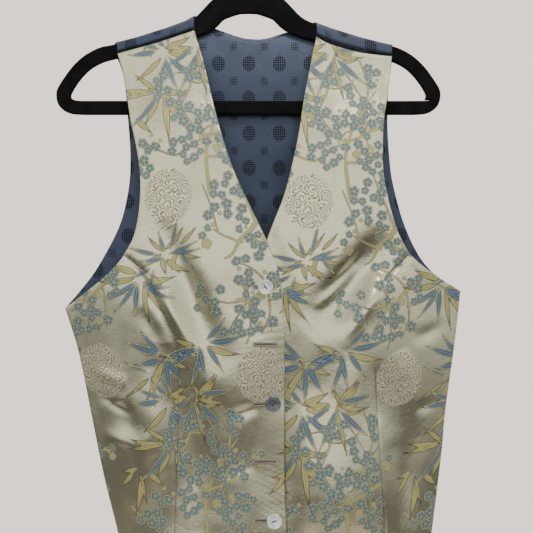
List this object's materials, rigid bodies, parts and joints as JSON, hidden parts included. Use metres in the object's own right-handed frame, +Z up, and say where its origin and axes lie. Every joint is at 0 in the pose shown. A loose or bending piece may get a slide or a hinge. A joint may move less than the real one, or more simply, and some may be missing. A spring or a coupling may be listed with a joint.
{
  "type": "waistcoat and hanger",
  "caption": "Fitted V-neck satin brocade waistcoat with a dark satin back, fastened with pearl buttons, on a thin flocked hanger",
  "frame": {"origin": "the inner top of the hanger's hook, where a rail holds it", "axes": "+Z up, -Y towards the waistcoat's front, +X towards the wearer's left"},
  "size_m": [0.4681, 0.0648, 0.7935],
  "materials": {
    "brocade": "pale sage satin brocade with woven blue and gold blossom and bamboo",
    "satin_back": "slate-blue satin jacquard with small dark dotted roundels",
    "pearl": "glossy two-hole pearl buttons",
    "flock": "black flocked velvet over plastic",
    "hook_wire": "bright bent wire"
  },
  "bodies": {
    "root": {"front_right": "brocade", "front_left": "brocade", "back": "satin_back", "back_lining": "satin_back", "button_1": "pearl", "button_2": "pearl", "button_3": "pearl", "button_4": "pearl", "button_5": "pearl", "hanger": "flock", "hanger_hook": "hook_wire"}
  },
  "joints": []
}
